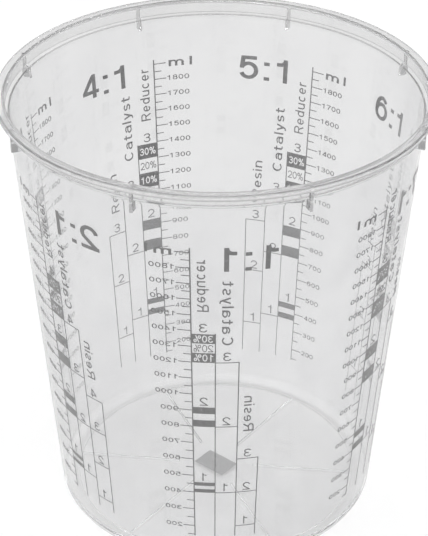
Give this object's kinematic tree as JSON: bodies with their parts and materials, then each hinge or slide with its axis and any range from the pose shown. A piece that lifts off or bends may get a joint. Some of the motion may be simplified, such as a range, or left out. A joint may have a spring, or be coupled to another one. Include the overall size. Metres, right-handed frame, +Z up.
{
  "type": "mixing cup",
  "caption": "Clear tapered mixing cup with a beaded mouth, outside stacking gussets, a ribbed floor and printed volume and ratio scales round its wall.",
  "frame": {"origin": "centre of the standing face on the cup's axis", "axes": "+Z up along the cup's axis; -Y is the side with the one to one scale"},
  "size_m": [0.1564, 0.1564, 0.168],
  "materials": {
    "clear_polypropylene": "clear, faintly milky, glossy moulding",
    "grey_ink": "thin printed ink film"
  },
  "bodies": {
    "root": {"cup_body": "clear_polypropylene", "print_1_to_1": "grey_ink", "print_2_to_1": "grey_ink", "print_3_to_1": "grey_ink", "print_4_to_1": "grey_ink", "print_5_to_1": "grey_ink", "print_6_to_1": "grey_ink", "print_7_to_1": "grey_ink", "print_base_patch": "grey_ink"}
  },
  "joints": []
}
